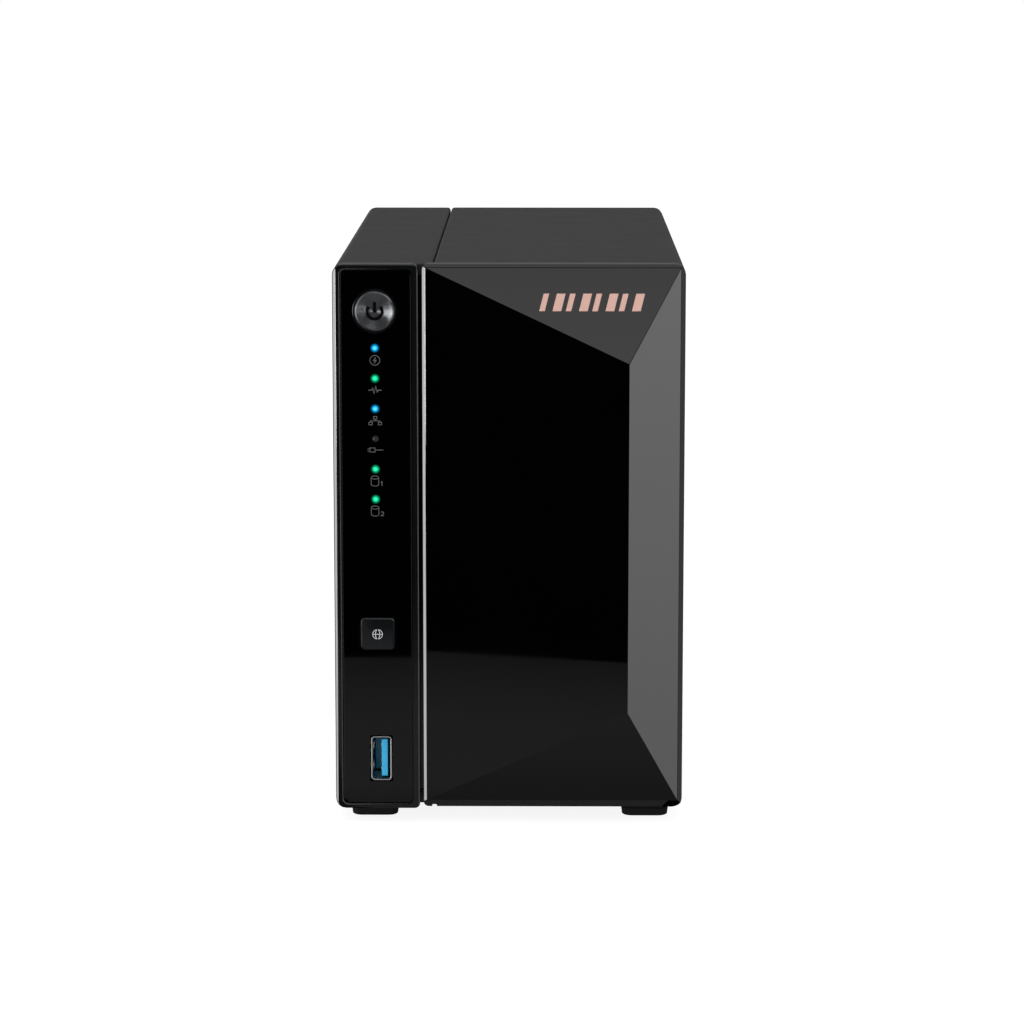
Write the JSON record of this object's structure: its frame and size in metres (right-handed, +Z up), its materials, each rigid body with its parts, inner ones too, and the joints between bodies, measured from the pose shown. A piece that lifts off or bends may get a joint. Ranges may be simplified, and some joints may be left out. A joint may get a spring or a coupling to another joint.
{
  "type": "nas enclosure",
  "caption": "Upright desktop network storage box with a button column, a faceted sliding cover, disks, a mainboard and a rear fan.",
  "frame": {"origin": "on the surface it stands on, under the middle of its box", "axes": "+Z up, -Y to the front, +X to the right seen from the front"},
  "size_m": [0.102, 0.218, 0.165],
  "materials": {
    "case_plastic": "fine textured moulding",
    "window_gloss": "piano black",
    "faceted_gloss": "piano black",
    "badge_metal": "rose gold, satin",
    "button_metal": "concentric brushed, dark",
    "button_gloss": "polished, bevelled edge",
    "switch_plastic": "plain",
    "light_pipe": "clear light pipe",
    "rubber_foot": "soft",
    "circuit_board": "solder mask",
    "chip_plastic": "moulded",
    "socket_metal": "plated",
    "usb_blue": "moulded",
    "sheet_steel": "galvanised",
    "cast_aluminium": "cast",
    "lid_metal": "satin",
    "fin_metal": "extruded",
    "cell_metal": "polished",
    "fan_plastic": "moulded",
    "lead_cover": "plain",
    "thumbscrew_metal": "black nickel, ribbed",
    "screw_metal": "black zinc"
  },
  "bodies": {
    "chassis": {"left_shell": "case_plastic", "rear_panel": "case_plastic", "front_bezel": "case_plastic", "bezel_window": "window_gloss", "status_lens_1": "light_pipe", "status_lens_2": "light_pipe", "status_lens_3": "light_pipe", "status_lens_4": "light_pipe", "status_lens_5": "light_pipe", "status_lens_6": "light_pipe", "front_board": "circuit_board", "power_switch": "switch_plastic", "backup_switch": "switch_plastic", "front_usb_shell": "socket_metal", "front_usb_tongue": "usb_blue", "mainboard": "circuit_board", "processor": "chip_plastic", "heat_sink": "fin_metal", "memory_chip": "chip_plastic", "coin_cell": "cell_metal", "riser_slot": "chip_plastic", "rear_usb_1_shell": "socket_metal", "rear_usb_1_tongue": "usb_blue", "rear_usb_2_shell": "socket_metal", "rear_usb_2_tongue": "usb_blue", "lan_jack": "socket_metal", "dc_jack": "chip_plastic", "reset_switch": "switch_plastic", "chassis_frame": "sheet_steel", "drive_cage": "sheet_steel", "drive_1_body": "cast_aluminium", "drive_1_lid": "lid_metal", "drive_1_board": "circuit_board", "drive_2_body": "cast_aluminium", "drive_2_lid": "lid_metal", "drive_2_board": "circuit_board", "sata_backplane": "circuit_board", "sata_connector_1": "chip_plastic", "sata_connector_2": "chip_plastic", "fan_frame": "fan_plastic", "fan_lead": "lead_cover", "fan_screw_1": "screw_metal", "fan_screw_2": "screw_metal", "fan_screw_3": "screw_metal", "fan_screw_4": "screw_metal", "foot_front_left": "rubber_foot", "foot_rear_left": "rubber_foot"},
    "cover": {"right_shell": "case_plastic", "faceted_front": "faceted_gloss", "emblem": "badge_metal", "foot_front_right": "rubber_foot", "foot_rear_right": "rubber_foot"},
    "power_key": {"power_button": "button_metal", "power_plunger": "switch_plastic"},
    "backup_key": {"backup_button": "button_gloss", "backup_plunger": "switch_plastic"},
    "reset_key": {"reset_plunger": "switch_plastic"},
    "fan_wheel": {"fan_rotor": "fan_plastic"},
    "upper_thumbscrew": {"thumbscrew_upper": "thumbscrew_metal"},
    "lower_thumbscrew": {"thumbscrew_lower": "thumbscrew_metal"}
  },
  "joints": [
    {"name": "cover_slide", "type": "slide", "parent": "chassis", "child": "cover", "axis": [0, -1, 0], "range_m": [0, 0.205]},
    {"name": "power_button_press", "type": "slide", "parent": "chassis", "child": "power_key", "axis": [0, 1, 0], "range_m": [0, 0.001], "stiffness_N_per_m": 1500},
    {"name": "backup_button_press", "type": "slide", "parent": "chassis", "child": "backup_key", "axis": [0, 1, 0], "range_m": [0, 0.0008], "stiffness_N_per_m": 1500},
    {"name": "reset_button_press", "type": "slide", "parent": "chassis", "child": "reset_key", "axis": [0, -1, 0], "range_m": [0, 0.0005], "stiffness_N_per_m": 1500},
    {"name": "fan_spin", "type": "hinge", "parent": "chassis", "child": "fan_wheel", "pos_m": [0.0123, 0.0877, 0.081], "axis": [0, 1, 0], "continuous": true},
    {"name": "thumbscrew_upper_turn", "type": "hinge", "parent": "chassis", "child": "upper_thumbscrew", "pos_m": [0.0425, 0.1037, 0.152], "axis": [0, 1, 0], "continuous": true},
    {"name": "thumbscrew_lower_turn", "type": "hinge", "parent": "chassis", "child": "lower_thumbscrew", "pos_m": [0.0425, 0.1037, 0.017], "axis": [0, 1, 0], "continuous": true}
  ]
}
